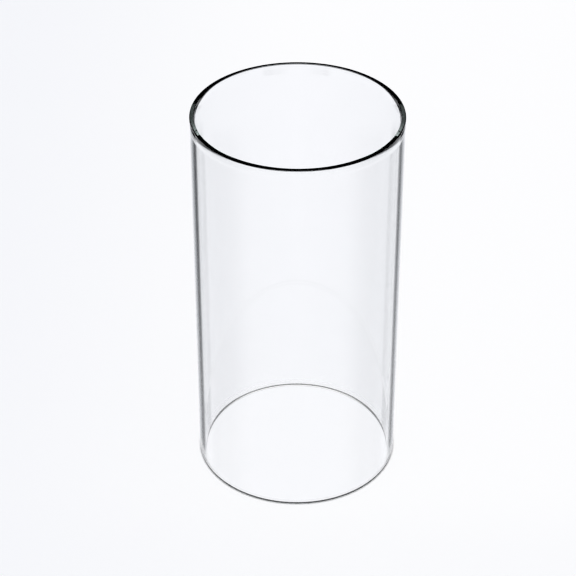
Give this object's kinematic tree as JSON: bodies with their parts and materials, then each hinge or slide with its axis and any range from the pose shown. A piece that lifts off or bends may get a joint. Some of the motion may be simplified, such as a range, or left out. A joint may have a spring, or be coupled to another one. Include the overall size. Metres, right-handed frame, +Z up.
{
  "type": "glass hurricane shade",
  "caption": "Clear glass tube open at both ends, with a melted, faintly flared rim that thins to a narrow flat lip and a ground flat foot, that stands round a candle and shields its flame.",
  "frame": {"origin": "centre of the foot, on the surface the shade stands on", "axes": "+Z up along the tube's axis, from the ground foot to the melted rim; X and Y are free, as the tube is round"},
  "size_m": [0.1022, 0.1022, 0.1985],
  "materials": {
    "clear_glass": "clear polished, ground at the foot"
  },
  "bodies": {
    "root": {"glass_tube": "clear_glass"}
  },
  "joints": []
}
